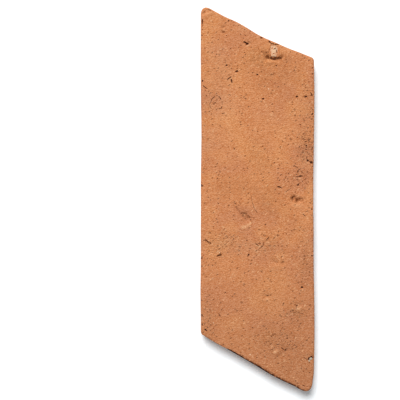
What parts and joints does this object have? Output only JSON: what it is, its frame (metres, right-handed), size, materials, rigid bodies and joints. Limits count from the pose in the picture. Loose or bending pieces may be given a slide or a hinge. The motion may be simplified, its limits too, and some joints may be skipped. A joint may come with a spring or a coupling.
{
  "type": "terracotta chevron tile",
  "caption": "Long hand-moulded terracotta paving tile with parallel long edges and both ends cut on the slant, right-hand, for laying in a chevron pattern.",
  "frame": {"origin": "on the bed face at z = 0, under the middle of the outline's box", "axes": "+Z out of the face that is walked on, +Y along the long edges towards the tip, +X across the tile to the right edge"},
  "size_m": [0.1, 0.3386, 0.02],
  "materials": {
    "terracotta": "matte"
  },
  "bodies": {
    "root": {"tile": "terracotta"}
  },
  "joints": []
}
